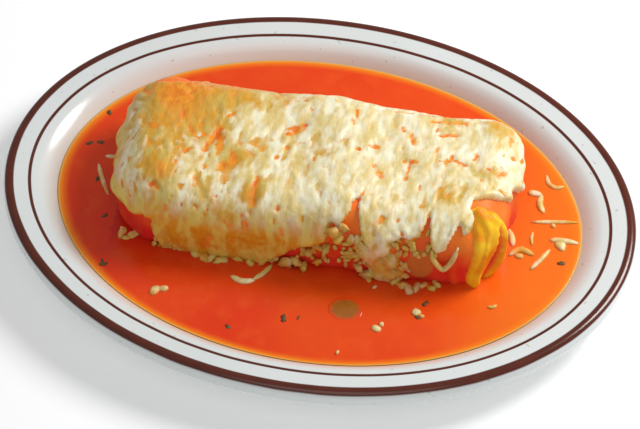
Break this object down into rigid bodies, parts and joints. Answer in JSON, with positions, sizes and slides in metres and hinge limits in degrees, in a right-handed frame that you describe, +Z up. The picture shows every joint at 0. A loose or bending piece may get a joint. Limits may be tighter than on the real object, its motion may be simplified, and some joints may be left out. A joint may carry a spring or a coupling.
{
  "type": "wet burrito on an oval platter",
  "caption": "Rolled tortilla under a blanket of melted cheese, lying in a pool of red sauce on an oval banded platter.",
  "frame": {"origin": "centre of the whole's footprint, on the surface that the platter's foot ring stands on", "axes": "+X along the platter's long axis, +Z up, -Y the side where the melted cheese runs down to the sauce"},
  "size_m": [0.318, 0.236, 0.0602],
  "materials": {
    "stoneware": "white glaze with two brown bands on the rim",
    "sauce": "wet, glossy red-orange chile sauce, yellower where it is thin",
    "tortilla": "flour tortilla soaked and stained by the sauce",
    "cheese": "melted white cheese, soft uneven gloss, orange oil in the hollows"
  },
  "bodies": {
    "root": {"platter": "stoneware", "sauce": "sauce", "tortilla": "tortilla", "melted_cheese": "cheese"}
  },
  "joints": []
}
